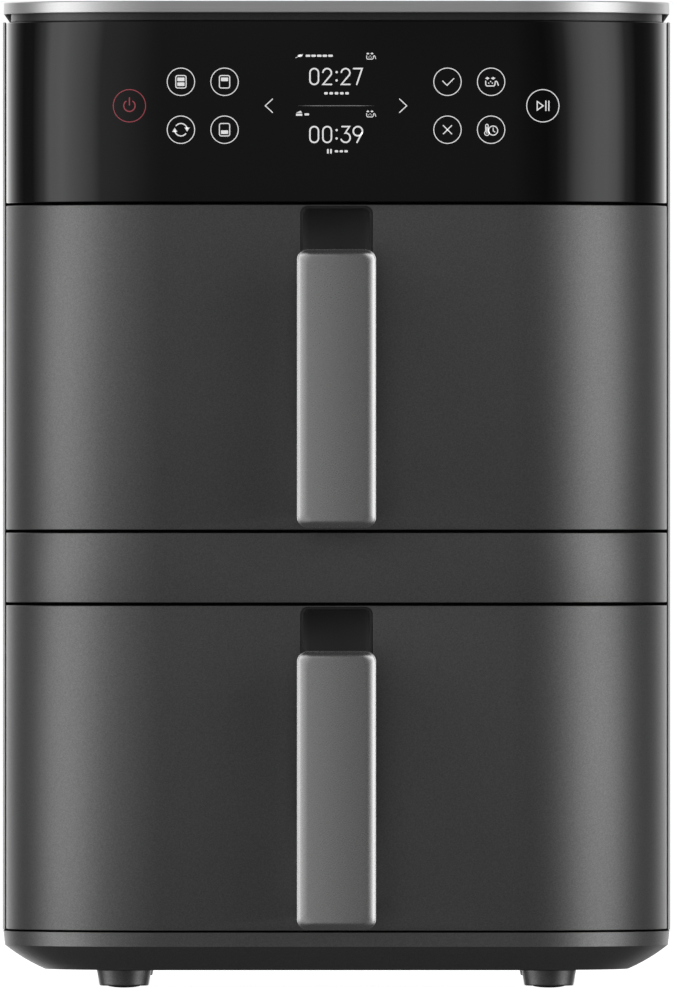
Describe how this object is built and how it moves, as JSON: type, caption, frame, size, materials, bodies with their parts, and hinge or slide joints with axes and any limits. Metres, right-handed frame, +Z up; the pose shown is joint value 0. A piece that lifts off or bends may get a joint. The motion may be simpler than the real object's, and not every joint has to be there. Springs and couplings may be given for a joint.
{
  "type": "air fryer",
  "caption": "Stacked dual-zone air fryer: touch panel on top, drawers with vertical handles, pans, crisper trays and rear hot-air fans.",
  "frame": {"origin": "on the table, under the middle of the overall box, spacers and handles included", "axes": "+Z up, the front with the handles faces -Y, +X to the right as seen from the front"},
  "size_m": [0.28, 0.412, 0.4125],
  "materials": {
    "front_paint": "satin metallic paint with fine flake",
    "side_paint": "satin metallic paint",
    "lid_steel": "brushed from side to side",
    "panel_glass": "high gloss black",
    "handle_paint": "satin metallic paint",
    "black_plastic": "fine moulded grain",
    "rubber": "matt",
    "silicone": "satin",
    "sheet_steel": "mill finish sheet",
    "heater_sheath": "heat-darkened sheath",
    "motor_iron": "lacquered",
    "bright_steel": "bright plated",
    "pan_coating": "dark non-stick coating",
    "circuit_board": "solder mask",
    "display_light": "backlit print and display",
    "board_components": "matt",
    "mineral_wool": "fibrous"
  },
  "bodies": {
    "housing": {"base_tray": "front_paint", "feet": "front_paint", "foot_pads": "rubber", "side_panel_left": "side_paint", "side_panel_right": "side_paint", "rear_cover": "black_plastic", "rear_spacers": "rubber", "top_plate": "lid_steel", "top_deck": "black_plastic", "control_glass": "panel_glass", "fascia_frame": "black_plastic", "display_module": "display_light", "touch_board": "circuit_board", "middle_panel": "front_paint", "front_bulkhead": "black_plastic", "mouth_gaskets": "silicone", "interlock_switches": "black_plastic", "lower_chamber": "sheet_steel", "upper_chamber": "sheet_steel", "drawer_rails": "sheet_steel", "mid_insulation": "mineral_wool", "heat_shield": "sheet_steel", "lower_fan_guard": "sheet_steel", "upper_fan_guard": "sheet_steel", "lower_heater": "heater_sheath", "upper_heater": "heater_sheath", "lower_fan_housing": "sheet_steel", "upper_fan_housing": "sheet_steel", "lower_motor": "motor_iron", "upper_motor": "motor_iron", "temp_sensors": "bright_steel", "power_board": "circuit_board", "board_parts": "board_components", "cord_gland": "black_plastic", "cover_screws": "bright_steel", "base_screws": "bright_steel"},
    "lower_drawer": {"lower_drawer_front": "front_paint", "lower_liner": "black_plastic", "lower_finger_cup": "black_plastic", "lower_handle": "handle_paint", "lower_pan_bracket": "sheet_steel", "lower_handle_screws": "bright_steel", "lower_pan": "pan_coating"},
    "upper_drawer": {"upper_drawer_front": "front_paint", "upper_liner": "black_plastic", "upper_finger_cup": "black_plastic", "upper_handle": "handle_paint", "upper_pan_bracket": "sheet_steel", "upper_handle_screws": "bright_steel", "upper_pan": "pan_coating"},
    "lower_tray": {"lower_tray": "pan_coating", "lower_tray_bumpers": "silicone"},
    "upper_tray": {"upper_tray": "pan_coating", "upper_tray_bumpers": "silicone"},
    "lower_fan": {"lower_rotor": "sheet_steel", "lower_shaft": "bright_steel", "lower_cooling_fan": "black_plastic"},
    "upper_fan": {"upper_rotor": "sheet_steel", "upper_shaft": "bright_steel", "upper_cooling_fan": "black_plastic"}
  },
  "joints": [
    {"name": "lower_drawer_slide", "type": "slide", "parent": "housing", "child": "lower_drawer", "axis": [0, -1, 0], "range_m": [0, 0.24]},
    {"name": "lower_tray_lift", "type": "slide", "parent": "lower_drawer", "child": "lower_tray", "axis": [0, 0, 1], "range_m": [0, 0.08]},
    {"name": "lower_fan_spin", "type": "hinge", "parent": "housing", "child": "lower_fan", "pos_m": [0, 0.15, 0.0926], "axis": [0, 1, 0], "continuous": true},
    {"name": "upper_drawer_slide", "type": "slide", "parent": "housing", "child": "upper_drawer", "axis": [0, -1, 0], "range_m": [0, 0.24]},
    {"name": "upper_tray_lift", "type": "slide", "parent": "upper_drawer", "child": "upper_tray", "axis": [0, 0, 1], "range_m": [0, 0.08]},
    {"name": "upper_fan_spin", "type": "hinge", "parent": "housing", "child": "upper_fan", "pos_m": [0, 0.15, 0.2599], "axis": [0, 1, 0], "continuous": true}
  ]
}
